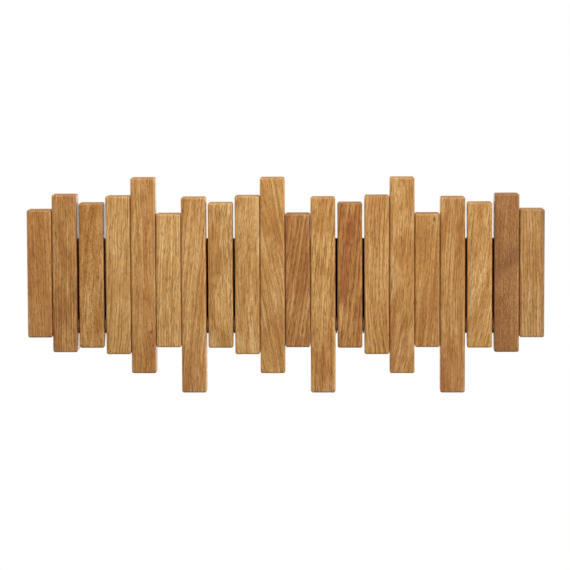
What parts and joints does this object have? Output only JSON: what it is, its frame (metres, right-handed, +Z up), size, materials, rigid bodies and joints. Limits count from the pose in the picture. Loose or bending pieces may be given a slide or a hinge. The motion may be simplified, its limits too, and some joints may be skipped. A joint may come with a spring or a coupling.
{
  "type": "wall coat rack",
  "caption": "Wall coat rack: a row of upright oak sticks of stepped lengths on a black board, with some sticks hinged near the foot so that they tip forward as hooks.",
  "frame": {"origin": "middle of the backing board's rear face, which lies on the wall", "axes": "+X along the row, to the right seen from the room; +Y into the wall; +Z up"},
  "size_m": [0.4984, 0.03, 0.2085],
  "materials": {
    "oak_honey": "oiled honey oak with fine open pores",
    "oak_pale": "oiled pale oak with fine open pores",
    "oak_red": "oiled reddish oak with fine open pores",
    "oak_brown": "oiled grey-brown oak with fine open pores",
    "black_board": "black satin paint on board",
    "steel": "bright drawn and pressed steel",
    "zinc": "zinc plated",
    "brown_fibre": "matt brown fibre"
  },
  "bodies": {
    "rack": {"backing_board": "black_board", "stick_01": "oak_red", "stick_02": "oak_red", "stick_04": "oak_pale", "stick_05": "oak_honey", "stick_06": "oak_pale", "stick_07": "oak_pale", "stick_09": "oak_pale", "stick_10": "oak_honey", "stick_11": "oak_red", "stick_12": "oak_honey", "stick_14": "oak_honey", "stick_15": "oak_honey", "stick_16": "oak_honey", "stick_17": "oak_honey", "stick_19": "oak_brown", "stick_20": "oak_pale", "hinge_pin_03": "steel", "washer_03_left": "brown_fibre", "washer_03_right": "brown_fibre", "hinge_pin_08": "steel", "washer_08_left": "brown_fibre", "washer_08_right": "brown_fibre", "hinge_pin_13": "steel", "washer_13_left": "brown_fibre", "washer_13_right": "brown_fibre", "hinge_pin_18": "steel", "washer_18_left": "brown_fibre", "washer_18_right": "brown_fibre", "stick_screw_01": "zinc", "stick_screw_02": "zinc", "stick_screw_04": "zinc", "stick_screw_05": "zinc", "stick_screw_06": "zinc", "stick_screw_07": "zinc", "stick_screw_09": "zinc", "stick_screw_10": "zinc", "stick_screw_11": "zinc", "stick_screw_12": "zinc", "stick_screw_14": "zinc", "stick_screw_15": "zinc", "stick_screw_16": "zinc", "stick_screw_17": "zinc", "stick_screw_19": "zinc", "stick_screw_20": "zinc", "hanger_plate_left": "steel", "plate_screw_left_lower": "zinc", "plate_screw_left_upper": "zinc", "hanger_plate_right": "steel", "plate_screw_right_lower": "zinc", "plate_screw_right_upper": "zinc"},
    "tilting_hook_03": {"hook_03": "oak_red"},
    "tilting_hook_08": {"hook_08": "oak_pale"},
    "tilting_hook_13": {"hook_13": "oak_red"},
    "tilting_hook_18": {"hook_18": "oak_pale"}
  },
  "joints": [
    {"name": "hook_03_tilt", "type": "hinge", "parent": "rack", "child": "tilting_hook_03", "pos_m": [-0.18705, -0.0215, -0.0376], "axis": [1, 0, 0], "range_deg": [0, 35]},
    {"name": "hook_08_tilt", "type": "hinge", "parent": "rack", "child": "tilting_hook_08", "pos_m": [-0.06235, -0.0215, -0.0376], "axis": [1, 0, 0], "range_deg": [0, 35]},
    {"name": "hook_13_tilt", "type": "hinge", "parent": "rack", "child": "tilting_hook_13", "pos_m": [0.06235, -0.0215, -0.0376], "axis": [1, 0, 0], "range_deg": [0, 35]},
    {"name": "hook_18_tilt", "type": "hinge", "parent": "rack", "child": "tilting_hook_18", "pos_m": [0.18705, -0.0215, -0.0376], "axis": [1, 0, 0], "range_deg": [0, 35]}
  ]
}
